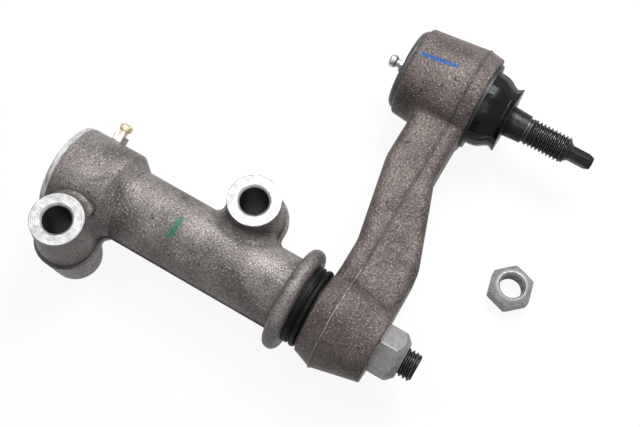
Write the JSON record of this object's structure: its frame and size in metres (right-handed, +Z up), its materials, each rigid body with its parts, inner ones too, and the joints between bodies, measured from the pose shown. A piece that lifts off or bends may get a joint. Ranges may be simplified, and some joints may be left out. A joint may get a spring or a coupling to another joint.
{
  "type": "steering idler arm",
  "caption": "Steering idler arm: cast frame bracket with a shaft in bushings, and a forged swinging arm that carries a booted ball stud.",
  "frame": {"origin": "centre of the cap end's frame bolt hole, on the lower machined face of its boss", "axes": "+X along the pivot axis from the capped end to the arm and the stud's tip, +Y from the pivot axis to the ball stud, +Z up along the frame bolts"},
  "size_m": [0.2197, 0.2028, 0.053],
  "materials": {
    "cast_iron_blasted": "shot-blasted casting",
    "forged_steel": "shot-blasted forging",
    "pressed_steel": "pressed sheet",
    "spring_steel": "ground",
    "bronze": "turned",
    "sintered_iron": "sintered",
    "black_rubber": "moulded",
    "yellow_zinc": "yellow zinc plate",
    "zinc_plate": "zinc plate",
    "hard_steel": "polished",
    "phosphated_nut": "matt phosphate",
    "dark_steel": "dark phosphate",
    "black_steel": "black"
  },
  "bodies": {
    "bracket": {"bracket": "cast_iron_blasted", "bracket_cover": "pressed_steel", "preload_spring": "spring_steel", "cap_bushing": "bronze", "seal_bushing": "bronze", "thrust_washer": "bronze", "pivot_seal": "black_rubber", "bracket_fitting": "yellow_zinc", "bracket_fitting_ball": "hard_steel", "bracket_fitting_spring": "spring_steel", "stud_nut": "phosphated_nut"},
    "arm": {"arm": "forged_steel", "pivot_shaft": "dark_steel", "pivot_nut": "phosphated_nut", "housing_cover": "pressed_steel", "front_seat": "sintered_iron", "rear_seat": "sintered_iron", "seat_spring": "spring_steel", "arm_fitting": "zinc_plate", "arm_fitting_ball": "hard_steel", "arm_fitting_spring": "spring_steel", "boot_clamp": "black_steel"},
    "boot": {"dust_boot": "black_rubber"},
    "boot_ring": {"boot_ring": "black_steel"},
    "stud": {"ball_stud": "dark_steel"}
  },
  "joints": [
    {"name": "arm_swing", "type": "hinge", "parent": "bracket", "child": "arm", "pos_m": [0, 0.0284, 0.025], "axis": [1, 0, 0], "continuous": true},
    {"name": "boot_swivel", "type": "hinge", "parent": "arm", "child": "boot", "pos_m": [0.1168, 0.1608, 0.025], "axis": [1, 0, 0], "continuous": true},
    {"name": "stud_tilt", "type": "hinge", "parent": "boot", "child": "boot_ring", "pos_m": [0.1168, 0.1608, 0.025], "axis": [0, 0, 1], "range_deg": [-20, 20], "deforming": ["dust_boot"]},
    {"name": "stud_spin", "type": "hinge", "parent": "boot_ring", "child": "stud", "pos_m": [0.1168, 0.1608, 0.025], "axis": [1, 0, 0], "continuous": true}
  ]
}
